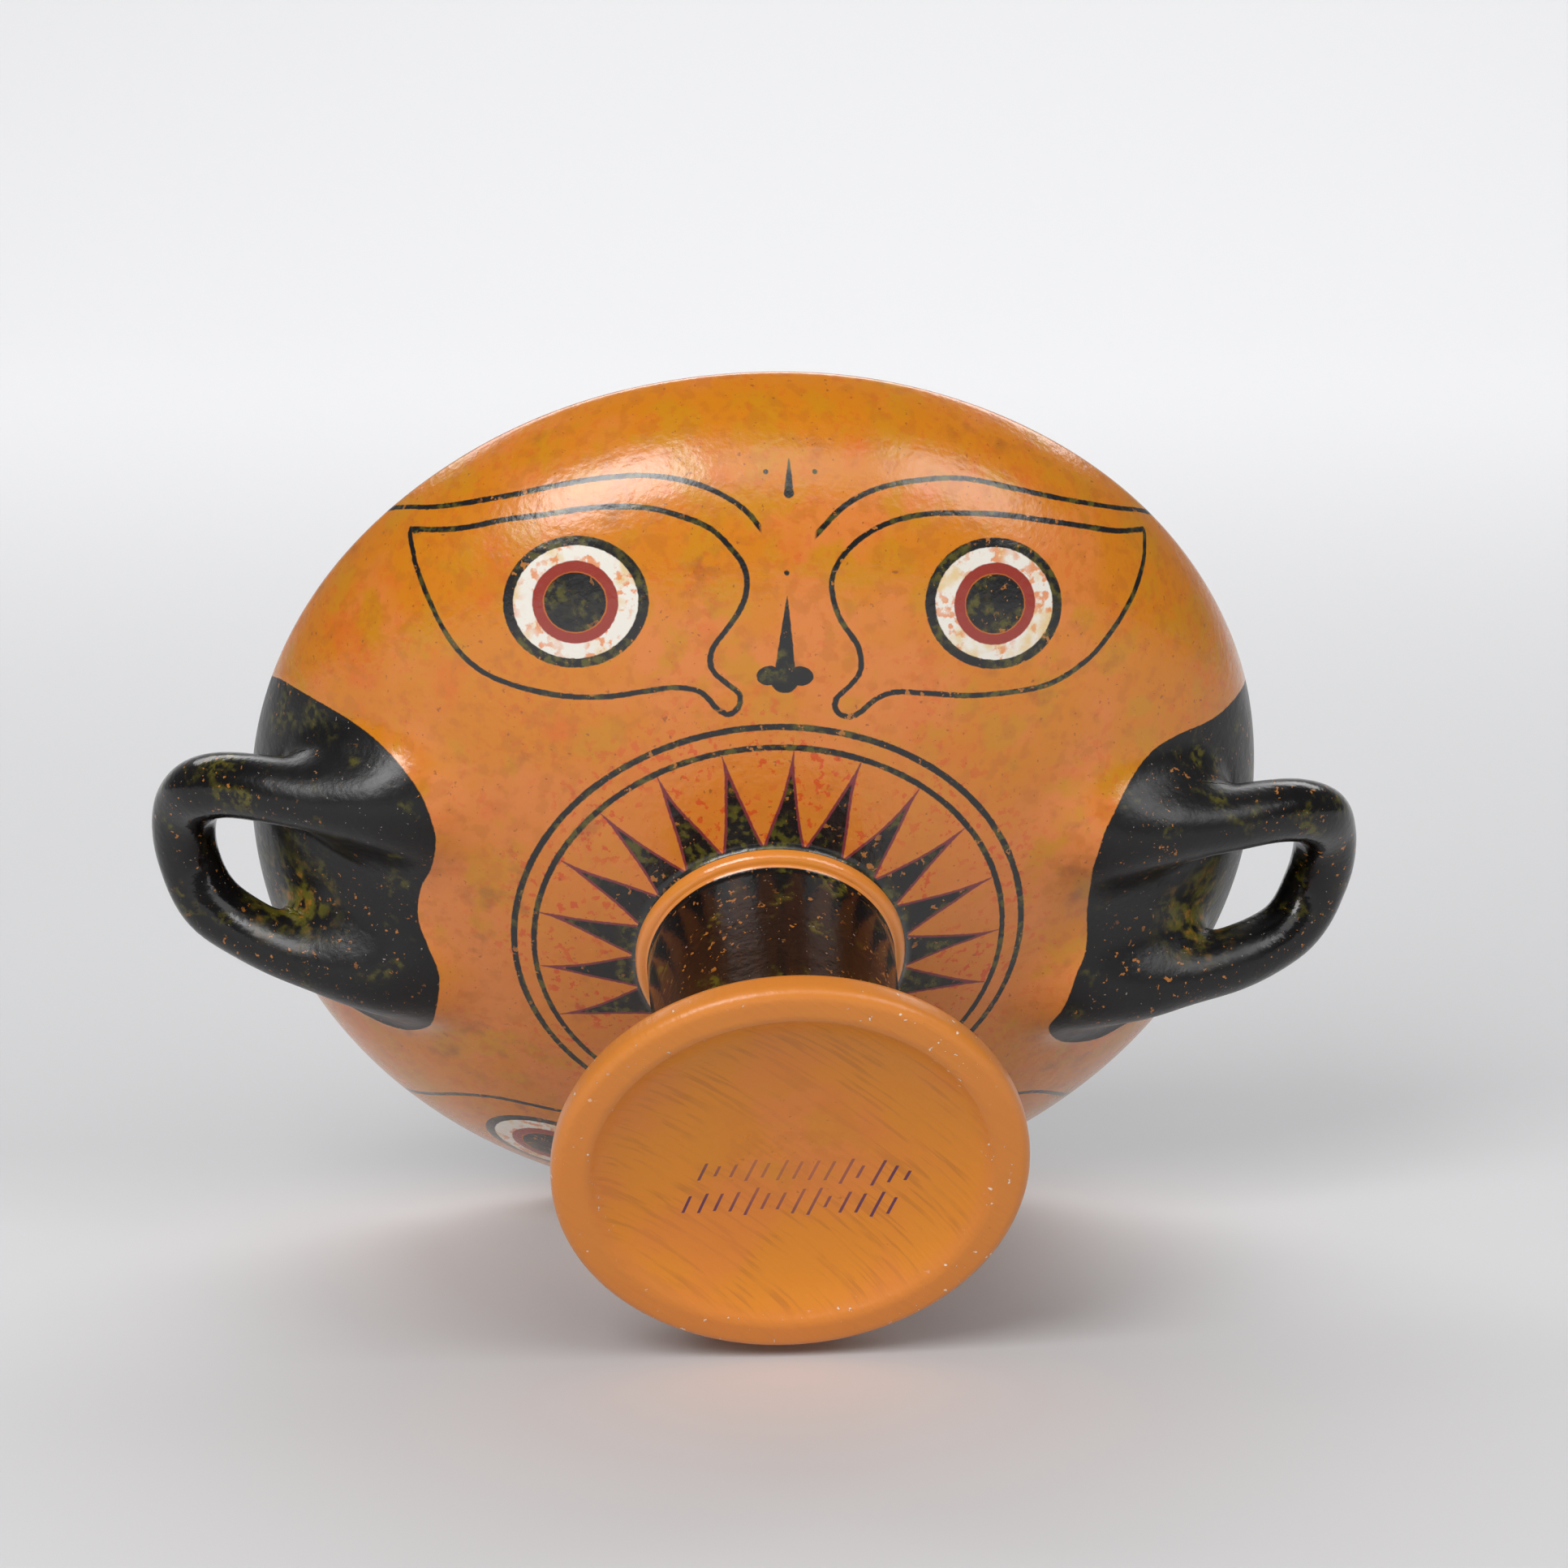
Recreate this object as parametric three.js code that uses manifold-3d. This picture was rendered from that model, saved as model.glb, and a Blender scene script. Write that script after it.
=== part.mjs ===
// A footed drinking cup with two loop handles, thrown and joined as one piece of clay.
// It stands on its foot: the origin is at the centre of the foot's underside and +Z is up.
// The handles point along +X and -X. Lengths are in millimetres, angles in degrees.

import * as THREE from 'three';
import { mergeVertices } from 'three/addons/utils/BufferGeometryUtils.js';
import Module from 'manifold-3d';

const wasm = await Module();
wasm.setup();

// Driving dimensions of the bowl
const cupHeight = 118.5;
const rimRadius = 103;
const wall = 5;
const bowlBase = 65;
const undersideSlope = 16.5;
const rimLean = 3.7;

// Driving dimensions of the stem and of the round collar under the bowl
const stemRadius = 24.5;
const waistRadius = 24;
const collarReach = 2.2;
const collarHeight = 2.6;

// Driving dimensions of the foot
const footRadius = 45;
const footEdge = 6.4;
const footFlareHeight = 24;
const restingWidth = 4.6;
const edgeRound = 2.2;
const dishDepth = 8;

// Driving dimensions of the handles, measured on the line along the middle of the loop
const handleRadius = 6.4;
const handleReach = 12.5;
const handleRootSpread = 16;
const handleRootBelowRim = 34;
const handleBowBelowRim = 15.5;
const handleShoulderWidth = 32;
const handleRootSwell = 3;

// The cup is hand made: its right handle sits a little lower and further round than its left
const rightHandleDrop = 3;
const rightHandleTurn = 1;

// Shape shares: how long each curve keeps the direction of its end
const bowlLowFullness = 0.69;
const bowlHighFullness = 0.3;
const dishFlat = 0.55;
const dishShoulder = 0.86;
const dishShoulderDepth = 0.75;
const flareSpread = 0.45;
const flareLow = 0.16;
const flareHigh = 0.4;
const shoulderRise = 0.68;
const bowWidth = 0.4;

// How finely the round forms are cut into flat faces
const turnSteps = 52;
const bowlSteps = 13;
const curveSteps = 7;
const roundSteps = 4;
const handleSides = 12;
const handleSteps = 24;

const clay = new THREE.MeshStandardMaterial({ color: 0xd27a2c, roughness: 0.45, metalness: 0 });

const lipRadius = wall / 2;
const lipHeight = cupHeight - lipRadius;
const collarRadius = stemRadius + collarReach;
const radians = THREE.MathUtils.degToRad;

// A point of a turned profile: its distance from the axis and its height
const point = (radius, height) => new THREE.Vector2(radius, height);

// A direction of a turned profile, by its rise above level
const heading = (angle, length) => point(Math.cos(radians(angle)), Math.sin(radians(angle))).multiplyScalar(length);

// A round edge from one angle to another about its centre
function roundEdge(centre, radius, fromAngle, toAngle) {
  const points = [];
  for (let step = 0; step <= roundSteps; step += 1) {
    const angle = THREE.MathUtils.lerp(fromAngle, toAngle, step / roundSteps);
    points.push(centre.clone().add(heading(angle, radius)));
  }
  return points;
}

// The bowl's outside, from the top of the collar to the start of the rounded lip
function bowlCurve() {
  const start = point(collarRadius, bowlBase);
  const end = point(rimRadius, lipHeight);
  const width = end.x - start.x;
  const low = start.clone().add(heading(undersideSlope, bowlLowFullness * width));
  const high = end.clone().sub(heading(90 - rimLean, bowlHighFullness * width));
  return new THREE.CubicBezierCurve(start, low, high, end);
}

// The radius of the bowl's outside at a height, found by halving the curve
function bowlRadiusAt(height) {
  const curve = bowlCurve();
  let low = 0;
  let high = 1;
  while (high - low > 1e-7) {
    const middle = (low + high) / 2;
    if (curve.getPoint(middle).y < height) low = middle;
    else high = middle;
  }
  return curve.getPoint(low).x;
}

// The bowl's inside below the lip: the outside moved in by the wall, and a shallow floor
function bowlInside() {
  const outside = bowlCurve();
  const side = [];
  for (let step = 0; step < bowlSteps; step += 1) {
    const along = outside.getTangent(step / bowlSteps);
    const inward = point(-along.y, along.x).multiplyScalar(wall);
    side.push(outside.getPoint(step / bowlSteps).add(inward));
  }
  const edge = side[0];
  const floorHeight = edge.y - (edge.x / 2) * Math.tan(radians(undersideSlope));
  const middle = point(0, floorHeight);
  const floor = new THREE.QuadraticBezierCurve(middle, point(edge.x / 2, floorHeight), edge);
  return [...floor.getPoints(roundSteps).slice(0, -1), ...side];
}

// The foot, from the middle of its dished underside, round its edge and up to the stem's waist
function footOutline() {
  const restingOuter = footRadius - edgeRound;
  const restingInner = restingOuter - restingWidth;
  const dish = new THREE.CubicBezierCurve(
    point(0, dishDepth),
    point(restingInner * dishFlat, dishDepth),
    point(restingInner * dishShoulder, dishDepth * dishShoulderDepth),
    point(restingInner, 0),
  );
  const waistHeight = footEdge + footFlareHeight;
  const flare = new THREE.CubicBezierCurve(
    point(restingOuter, footEdge),
    point(THREE.MathUtils.lerp(restingOuter, waistRadius, flareSpread), footEdge + footFlareHeight * flareLow),
    point(waistRadius, footEdge + footFlareHeight * flareHigh),
    point(waistRadius, waistHeight),
  );
  return [
    ...dish.getPoints(curveSteps),
    ...roundEdge(point(restingOuter, edgeRound), edgeRound, -90, 0),
    ...roundEdge(point(restingOuter, footEdge - edgeRound), edgeRound, 0, 90),
    ...flare.getPoints(curveSteps).slice(1),
  ];
}

// The convex collar that closes the joint between stem and bowl
function collarOutline() {
  const bottom = bowlBase - collarHeight;
  const bulge = new THREE.QuadraticBezierCurve(
    point(stemRadius, bottom),
    point(collarRadius, bottom),
    point(collarRadius, bowlBase),
  );
  return bulge.getPoints(roundSteps).slice(0, -1);
}

function turned(profile) {
  return new THREE.LatheGeometry(profile, turnSteps).rotateX(Math.PI / 2);
}

// A closed geometry as a solid that can be joined and cut
function toSolid(geometry) {
  const bare = geometry.clone();
  bare.deleteAttribute('normal');
  bare.deleteAttribute('uv');
  const merged = mergeVertices(bare);
  const corners = merged.index.array;
  const triangles = [];
  for (let at = 0; at < corners.length; at += 3) {
    const [a, b, c] = corners.slice(at, at + 3);
    if (a !== b && b !== c && c !== a) triangles.push(a, b, c);
  }
  const mesh = new wasm.Mesh({
    numProp: 3,
    vertProperties: Float32Array.from(merged.attributes.position.array),
    triVerts: Uint32Array.from(triangles),
  });
  return new wasm.Manifold(mesh);
}

function toGeometry(solid) {
  const mesh = solid.getMesh();
  const geometry = new THREE.BufferGeometry();
  geometry.setAttribute('position', new THREE.BufferAttribute(mesh.vertProperties, 3));
  geometry.setIndex(new THREE.BufferAttribute(mesh.triVerts, 1));
  geometry.computeVertexNormals();
  return geometry;
}

// Bowl, stem and foot as turned, before the bowl is hollowed
function body() {
  return toSolid(turned([
    ...footOutline(),
    ...collarOutline(),
    ...bowlCurve().getPoints(bowlSteps),
    ...roundEdge(point(rimRadius - lipRadius, lipHeight), lipRadius, 0, 90).slice(1),
    point(0, cupHeight),
  ]));
}

// The bowl's hollow, up along the inner half of the lip and on past the rim
function hollow() {
  const above = cupHeight + wall;
  return toSolid(turned([
    ...bowlInside(),
    ...roundEdge(point(rimRadius - lipRadius, lipHeight), lipRadius, 180, 90),
    point(rimRadius - lipRadius, above),
    point(0, above),
  ]));
}

// One loop along +X: it leaves the wall at two roots, swings out and rises towards the rim.
// Its ends run on through the wall into the bowl, where the hollow cuts them off.
function handleLine(drop) {
  const rootHeight = cupHeight - handleRootBelowRim - drop;
  const bowHeight = cupHeight - handleBowBelowRim - drop;
  const rootRadius = bowlRadiusAt(rootHeight);
  const sunk = handleRadius + handleRootSwell;
  const spread = radians(handleRootSpread);
  const atRoot = (radius, height) => (
    new THREE.Vector3(radius * Math.cos(spread), radius * Math.sin(spread), height)
  );
  const bow = rimRadius + handleReach;
  const shoulder = handleShoulderWidth / 2;
  const half = [
    atRoot(rootRadius - sunk, rootHeight + sunk),
    atRoot(rootRadius, rootHeight),
    new THREE.Vector3(bow - handleRadius, shoulder, THREE.MathUtils.lerp(rootHeight, bowHeight, shoulderRise)),
    new THREE.Vector3(bow, shoulder * bowWidth, bowHeight),
  ];
  const otherHalf = half.map((at) => new THREE.Vector3(at.x, -at.y, at.z)).reverse();
  return new THREE.CatmullRomCurve3([...half, ...otherHalf]);
}

// A straight round roll of clay, thicker at its ends, bent along the loop
function handle(drop) {
  const line = handleLine(drop);
  const frames = line.computeFrenetFrames(handleSteps, false);
  const roll = [point(0, 0)];
  for (let step = 0; step <= handleSteps; step += 1) {
    const towardsRoot = Math.abs((2 * step) / handleSteps - 1);
    roll.push(point(handleRadius + handleRootSwell * towardsRoot ** 4, step));
  }
  roll.push(point(0, handleSteps));
  const geometry = new THREE.LatheGeometry(roll, handleSides);
  const position = geometry.attributes.position;
  for (let at = 0; at < position.count; at += 1) {
    const step = Math.round(position.getY(at));
    const place = line.getPointAt(step / handleSteps);
    place.addScaledVector(frames.normals[step], position.getX(at));
    place.addScaledVector(frames.binormals[step], -position.getZ(at));
    position.setXYZ(at, place.x, place.y, place.z);
  }
  return geometry;
}

// The handles were pressed on wet, so body and handles are one solid. The hollow is cut last.
function cup() {
  const right = handle(rightHandleDrop).rotateZ(radians(rightHandleTurn));
  const left = handle(0).rotateZ(Math.PI);
  const joined = body().add(toSolid(right)).add(toSolid(left));
  const mesh = new THREE.Mesh(toGeometry(joined.subtract(hollow())), clay);
  mesh.name = 'kylix_cup';
  return mesh;
}

const group = new THREE.Group();
group.add(cup());

export default group;
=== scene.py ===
import math

import bmesh
import bpy
import numpy as np
from mathutils import Matrix, Vector, noise


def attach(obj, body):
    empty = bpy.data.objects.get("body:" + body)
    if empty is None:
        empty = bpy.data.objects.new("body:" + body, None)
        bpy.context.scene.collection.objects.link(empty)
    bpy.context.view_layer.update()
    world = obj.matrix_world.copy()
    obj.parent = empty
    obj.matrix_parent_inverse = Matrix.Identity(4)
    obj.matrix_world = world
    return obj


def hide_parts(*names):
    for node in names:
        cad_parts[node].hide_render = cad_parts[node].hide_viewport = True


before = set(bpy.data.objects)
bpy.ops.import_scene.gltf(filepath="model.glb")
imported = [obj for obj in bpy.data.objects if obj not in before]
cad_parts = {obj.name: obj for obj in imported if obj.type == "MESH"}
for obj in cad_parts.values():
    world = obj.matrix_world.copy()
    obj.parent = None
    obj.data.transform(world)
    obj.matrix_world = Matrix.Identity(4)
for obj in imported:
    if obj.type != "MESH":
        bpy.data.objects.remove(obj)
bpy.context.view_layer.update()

# The camera
# A long lens looks at the cup from below and in front: the cup lies on its side with its foot
# towards the viewer. The angles turn the cup's own axes into the camera's right, down and away.
mm = 0.001
lens_length = 111.8
film_width = 36
far_clip = 30
look_up_foot = 0.664491
picture_roll = -0.102043
cup_spin = math.radians(8)
cup_from_camera = Vector((1.4238, 73.3955, 909.9527)) * mm

to_camera = (
    Matrix.Rotation(picture_roll, 3, "Z")
    @ Matrix.Rotation(look_up_foot, 3, "X")
    @ Matrix.Rotation(cup_spin, 3, "Z")
)
from_camera = to_camera.transposed()
camera_place = from_camera @ -cup_from_camera
camera_data = bpy.data.cameras.new("camera")
camera_data.lens = lens_length
camera_data.sensor_width = film_width
camera_data.clip_end = far_clip
camera = bpy.data.objects.new("camera", camera_data)
bpy.context.scene.collection.objects.link(camera)
camera.matrix_world = Matrix.Translation(camera_place) @ (
    from_camera @ Matrix.Diagonal((1, -1, -1))
).to_4x4()
bpy.context.scene.camera = camera
bpy.context.scene.view_settings.view_transform = "Standard"

# The turned body
# Bowl, collar, stem and dished foot are red clay thrown on the wheel and pared with a blade.
# The outline runs in millimetres from the middle of the dish, round the foot and up to the rim.
cup_height = 118.5
rim_radius = 103
wall = 5
lip = wall / 2
lip_height = cup_height - lip
bowl_base = 65
underside_slope = 16.5
rim_lean = 3.7
low_fullness = 0.69
high_fullness = 0.3
stem_radius = 24.5
waist_radius = 24
collar_radius = 26.7
collar_bottom = 62.4
foot_radius = 45
foot_edge = 6.4
edge_round = 2.2
resting_width = 4.6
resting_outer = foot_radius - edge_round
resting_inner = resting_outer - resting_width
dish_depth = 8
dish_flat = 0.55
dish_shoulder = 0.86
dish_shoulder_depth = 0.75
flare_height = 24
flare_top = foot_edge + flare_height
flare_spread = 0.45
flare_low = 0.16
flare_high = 0.4
turn_steps = 376
weld_gap = 1e-6


def bent(corners, spacing):
    """Points about as far apart as the spacing on the curve that the corners pull."""
    corners = np.array(corners, float)
    count = max(2, round(np.linalg.norm(np.diff(corners, axis=0), axis=1).sum() / spacing))
    share = np.linspace(0, 1, count + 1)[:, None]
    level = [corner[None, :] for corner in corners]
    while len(level) > 1:
        level = [a * (1 - share) + b * share for a, b in zip(level, level[1:])]
    return level[0]


def rounded(middle, radius, start, end, steps=6):
    angle = np.radians(np.linspace(start, end, steps + 1))
    return np.array(middle) + radius * np.c_[np.cos(angle), np.sin(angle)]


def heading(angle, length):
    return np.array((math.cos(math.radians(angle)), math.sin(math.radians(angle)))) * length


def joined(*stretches):
    return np.vstack([stretches[0]] + [stretch[1:] for stretch in stretches[1:]])


dish = bent([
    (0, dish_depth),
    (dish_flat * resting_inner, dish_depth),
    (dish_shoulder * resting_inner, dish_shoulder_depth * dish_depth),
    (resting_inner, 0),
], spacing=1.8)
resting_ring = bent([(resting_inner, 0), (resting_outer, 0)], spacing=1.6)
foot_side = np.vstack([
    resting_ring[-1:],
    rounded((resting_outer, edge_round), edge_round, -90, 0)[1:],
    rounded((resting_outer, foot_edge - edge_round), edge_round, 0, 90),
])
flare_span = resting_outer - waist_radius
flare = bent([
    (resting_outer, foot_edge),
    (resting_outer - flare_spread * flare_span, foot_edge + flare_low * flare_height),
    (waist_radius, foot_edge + flare_high * flare_height),
    (waist_radius, flare_top),
], spacing=1.8)
stem = bent([(waist_radius, flare_top), (stem_radius, collar_bottom)], spacing=2.6)
collar = bent([
    (stem_radius, collar_bottom),
    (collar_radius, collar_bottom),
    (collar_radius, bowl_base),
], spacing=0.6)
bowl_start = np.array((collar_radius, bowl_base))
bowl_end = np.array((rim_radius, lip_height))
bowl_width = rim_radius - collar_radius
bowl_corners = (
    bowl_start,
    bowl_start + heading(underside_slope, low_fullness * bowl_width),
    bowl_end - heading(90 - rim_lean, high_fullness * bowl_width),
    bowl_end,
)
bowl = bent(bowl_corners, spacing=1.1)
lip_outside = rounded((rim_radius - lip, lip_height), lip, 0, 90)
outside = joined(dish, resting_ring, foot_side, flare, stem, collar, bowl, lip_outside)

# The hollow is the outside moved in by the wall, with a shallow floor
bowl_coarse = bent(bowl_corners, spacing=2.2)
bowl_slope = np.gradient(bowl_coarse, axis=0)
bowl_slope /= np.linalg.norm(bowl_slope, axis=1)[:, None]
bowl_inside = bowl_coarse + wall * np.c_[-bowl_slope[:, 1], bowl_slope[:, 0]]
floor_edge, floor_edge_height = bowl_inside[0]
floor_height = floor_edge_height - floor_edge / 2 * math.tan(math.radians(underside_slope))
bowl_floor = bent([
    (0, floor_height),
    (floor_edge / 2, floor_height),
    (floor_edge, floor_edge_height),
], spacing=2.6)
lip_inside = rounded((rim_radius - lip, lip_height), lip, 180, 90)
inside = joined(bowl_floor, bowl_inside[:-1], lip_inside)


def new_piece(name, shape):
    mesh = bpy.data.meshes.new(name)
    shape.to_mesh(mesh)
    shape.free()
    piece = bpy.data.objects.new(name, mesh)
    bpy.context.scene.collection.objects.link(piece)
    return piece


def turned(name, outline):
    """A solid turned about the cup's axis from half its outline."""
    shape = bmesh.new()
    corners = [shape.verts.new((radius * mm, 0, height * mm)) for radius, height in outline]
    edges = [shape.edges.new(pair) for pair in zip(corners, corners[1:])]
    bmesh.ops.spin(
        shape, geom=corners + edges, cent=(0, 0, 0), axis=(0, 0, 1), dvec=(0, 0, 0),
        angle=2 * math.pi, steps=turn_steps, use_merge=True,
    )
    bmesh.ops.remove_doubles(shape, verts=shape.verts[:], dist=weld_gap)
    bmesh.ops.recalc_face_normals(shape, faces=shape.faces[:])
    return new_piece(name, shape)


body = turned("painted_kylix", np.vstack([outside, (0, cup_height)]))
above = cup_height + wall
hollow = turned("hollow", np.vstack([inside, (rim_radius - lip, above), (0, above)]))

# The handles
# Each is a roll of the same clay, bent into a loop, pressed onto the wet bowl at both roots and
# smeared into it with a thumb. The right one was set a little lower and further round.
roll_radius = 6.4
root_swell = 3
root_spread = math.radians(16)
root_below_rim = 34
bow_below_rim = 15.5
handle_reach = 12.5
shoulder = 16
shoulder_rise = 0.68
bow_width = 0.4
roll_sides = 40
roll_steps = 110
right_drop = 3
right_turn = math.radians(1)
loops = {"right": (right_drop, right_turn), "left": (0, math.pi)}


def loop_points(drop):
    """The middle line of a loop along +X, as points evenly spaced along it."""
    root_height = cup_height - root_below_rim - drop
    bow_height = cup_height - bow_below_rim - drop
    root_radius = np.interp(root_height, bowl[:, 1], bowl[:, 0])
    sunk = roll_radius + root_swell
    at_root = [
        (radius * math.cos(root_spread), radius * math.sin(root_spread), height)
        for radius, height in ((root_radius - sunk, root_height + sunk), (root_radius, root_height))
    ]
    bow = rim_radius + handle_reach
    half = np.array(at_root + [
        (bow - roll_radius, shoulder, root_height + shoulder_rise * (bow_height - root_height)),
        (bow, bow_width * shoulder, bow_height),
    ])
    knots = np.vstack([half, (half * (1, -1, 1))[::-1]])
    return even(smooth_line(knots), roll_steps)


def smooth_line(knots, steps=16):
    """A curve through the knots that doesn't overshoot where they are unevenly spaced."""
    knots = np.vstack([2 * knots[0] - knots[1], knots, 2 * knots[-1] - knots[-2]])
    gap = np.sqrt(np.linalg.norm(np.diff(knots, axis=0), axis=1))
    share = np.linspace(0, 1, steps, endpoint=False)[:, None]
    pieces = []
    for at in range(1, len(knots) - 2):
        before, a, b, after = knots[at - 1:at + 3]
        g0, g1, g2 = gap[at - 1:at + 2]
        start = g1 * ((a - before) / g0 - (b - before) / (g0 + g1) + (b - a) / g1)
        end = g1 * ((b - a) / g1 - (after - a) / (g1 + g2) + (after - b) / g2)
        pieces.append(a + start * share + (3 * (b - a) - 2 * start - end) * share ** 2
                      + (2 * (a - b) + start + end) * share ** 3)
    return np.vstack(pieces + [knots[-2][None, :]])


def even(line, steps):
    """The same line, cut into steps of one length."""
    run = np.r_[0, np.cumsum(np.linalg.norm(np.diff(line, axis=0), axis=1))]
    wanted = np.linspace(0, run[-1], steps + 1)
    return np.stack([np.interp(wanted, run, line[:, axis]) for axis in range(line.shape[1])], axis=1)


def spun_round(points, angle):
    turn = np.array(Matrix.Rotation(angle, 3, "Z"))
    return points @ turn.T


def roll_size():
    """The roll's radius along the loop: it swells towards both roots."""
    towards_root = np.abs(np.linspace(-1, 1, roll_steps + 1))
    return roll_radius + root_swell * towards_root ** 4


def rolled(name, line):
    """A round roll of clay drawn along the line, closed at both ends."""
    along = np.gradient(line, axis=0)
    level = Vector(np.cross(line[-1] - line[0], line[len(line) // 2] - line[0]))
    shape = bmesh.new()
    bmesh.ops.create_circle(shape, cap_ends=True, radius=1, segments=roll_sides)
    rim = shape.edges[:]
    ring = shape.verts[:]
    last = Matrix.Identity(4)
    for place, way, size in zip(line, along, roll_size()):
        way = Vector(way).normalized()
        across = level - level.dot(way) * way
        across.normalize()
        turn = Matrix((across, way.cross(across), way)).transposed().to_4x4()
        here = Matrix.Translation(Vector(place) * mm) @ turn @ Matrix.Scale(size * mm, 4)
        if last != Matrix.Identity(4):
            grown = bmesh.ops.extrude_edge_only(shape, edges=rim)["geom"]
            ring = [part for part in grown if isinstance(part, bmesh.types.BMVert)]
            rim = [
                part for part in grown
                if isinstance(part, bmesh.types.BMEdge) and all(end in ring for end in part.verts)
            ]
        bmesh.ops.transform(shape, matrix=here @ last.inverted(), verts=ring)
        last = here
    bmesh.ops.edgeloop_fill(shape, edges=rim)
    bmesh.ops.recalc_face_normals(shape, faces=shape.faces[:])
    return new_piece(name, shape)


def cut_or_join(piece, tool, operation):
    step = piece.modifiers.new(tool.name, "BOOLEAN")
    step.operation = operation
    step.solver = "MANIFOLD"
    step.object = tool


loop_lines = {name: spun_round(loop_points(drop), turn) for name, (drop, turn) in loops.items()}
tools = [rolled(name, line) for name, line in loop_lines.items()]
for tool in tools:
    cut_or_join(body, tool, "UNION")
cut_or_join(body, hollow, "DIFFERENCE")
in_one = body.evaluated_get(bpy.context.evaluated_depsgraph_get())
finished = bpy.data.meshes.new_from_object(in_one)
body.modifiers.clear()
body.data = finished
for tool in tools + [hollow]:
    bpy.data.objects.remove(tool)

# Smearing the roots into the bowl
# A thumb pulled the clay of each root out over the bowl, so that roll and wall meet in a soft web.
# Near the roots each point is moved onto the smooth union of wall, roll and smear.
web_at_root = 13
web_at_bow = 2
web_from = 0.3
web_span = 0.4
roots_reach = 26
roots_above = 60
roots_beyond = 20
wall_skin = 0.4
smear_points = {
    "left": [[(-78, 66), (-75, 58), (-74, 50)], [(-103, 65), (-107, 57), (-110, 48)]],
    "right": [[(77, 63), (74, 55), (74, 46)], [(104, 63), (108, 55), (112, 45)]],
}
smear_radius = (7.5, 6.0, 4.0)
smear_sunk = (7.0, 6.8, 5.2)
smear_melt = 9
smear_steps = 12
hair = 1e-6
outer_line = joined(bowl, lip_outside)
outer_run = np.r_[0, np.cumsum(np.linalg.norm(np.diff(outer_line, axis=0), axis=1))]


def on_bowl(azimuth, run, sunk=0.0):
    """A point of the bowl's outside from its angle round from the face and its run up the wall."""
    angle = np.radians(azimuth)
    radius = np.interp(run, outer_run, outer_line[:, 0])
    height = np.interp(run, outer_run, outer_line[:, 1])
    slope = np.gradient(outer_line, outer_run, axis=0)
    rise = np.interp(run, outer_run, slope[:, 1])
    level = np.interp(run, outer_run, slope[:, 0])
    radius = radius - sunk * rise
    height = height + sunk * level
    return np.stack([radius * np.sin(angle), -radius * np.cos(angle), height], axis=-1)


def nearest(points, line):
    """For each point, its distance from a line of points, the place on the line and the nearest spot."""
    best = np.full(len(points), np.inf)
    share_at = np.zeros(len(points))
    spot = np.zeros_like(points)
    for at, (a, b) in enumerate(zip(line, line[1:])):
        way = b - a
        share = np.clip((points - a) @ way / (way @ way), 0, 1)
        there = a + share[:, None] * way
        away = np.linalg.norm(points - there, axis=1)
        closer = away < best
        best[closer] = away[closer]
        share_at[closer] = (at + share[closer]) / (len(line) - 1)
        spot[closer] = there[closer]
    return best, share_at, spot


def off_wall(points):
    """Height of each point above the bowl's outside, and the way straight off the wall."""
    radius = np.linalg.norm(points[:, :2], axis=1)
    flat = np.c_[radius, points[:, 2]]
    _, share, spot = nearest(flat, outer_line)
    slope = np.gradient(outer_line, axis=0)
    at = share * (len(outer_line) - 1)
    normal = np.stack([np.interp(at, np.arange(len(slope)), slope[:, 1]),
                       -np.interp(at, np.arange(len(slope)), slope[:, 0])], axis=1)
    normal /= np.linalg.norm(normal, axis=1)[:, None]
    height = np.einsum("ij,ij->i", flat - spot, normal)
    out = np.c_[normal[:, :1] * points[:, :2] / np.maximum(radius, hair)[:, None], normal[:, 1]]
    return height, out


def off_roll(points, line, size):
    """Height of each point above a roll of clay, the way straight off it and the place along it."""
    away, share, spot = nearest(points, line)
    at = share * (len(line) - 1)
    height = away - np.interp(at, np.arange(len(line)), size)
    return height, (points - spot) / np.maximum(away, hair)[:, None], share


def melted(first, second, reach):
    """Two surfaces run together over the reach: the height above them and the way off."""
    (a, way_a), (b, way_b) = first, second
    near = np.maximum(reach - np.abs(a - b), 0) / reach
    height = np.minimum(a, b) - near ** 2 * reach / 4
    share = np.where(a < b, 1 - near / 2, near / 2)[:, None]
    return height, way_a * share + way_b * (1 - share)


def smear_line(row):
    knots = [on_bowl(azimuth, run, sunk) for (azimuth, run), sunk in zip(row, smear_sunk)]
    return even(smooth_line(np.array(knots)), smear_steps)


smear_lines = {name: [smear_line(row) for row in rows] for name, rows in smear_points.items()}
smear_size = np.interp(np.linspace(0, 2, smear_steps + 1), (0, 1, 2), smear_radius)


def off_handle_and_wall(points, name):
    """Height above wall, roll and smears run together and the way off, then above wall and roll alone."""
    wall_here = off_wall(points)
    roll_height, roll_way, share = off_roll(points, loop_lines[name], roll_size())
    towards_root = np.clip((np.abs(2 * share - 1) - web_from) / web_span, 0, 1)
    reach = web_at_bow + (web_at_root - web_at_bow) * towards_root ** 2 * (3 - 2 * towards_root)
    together = melted(wall_here, (roll_height, roll_way), reach)
    for line in smear_lines[name]:
        height, way, _ = off_roll(points, line, smear_size)
        together = melted(together, (height, way), smear_melt)
    return together, wall_here[0], roll_height


def positions(mesh):
    place = np.empty(len(mesh.vertices) * 3)
    mesh.vertices.foreach_get("co", place)
    return place.reshape(-1, 3) / mm


def set_positions(mesh, place):
    mesh.vertices.foreach_set("co", (place * mm).ravel())
    mesh.update()


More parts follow.
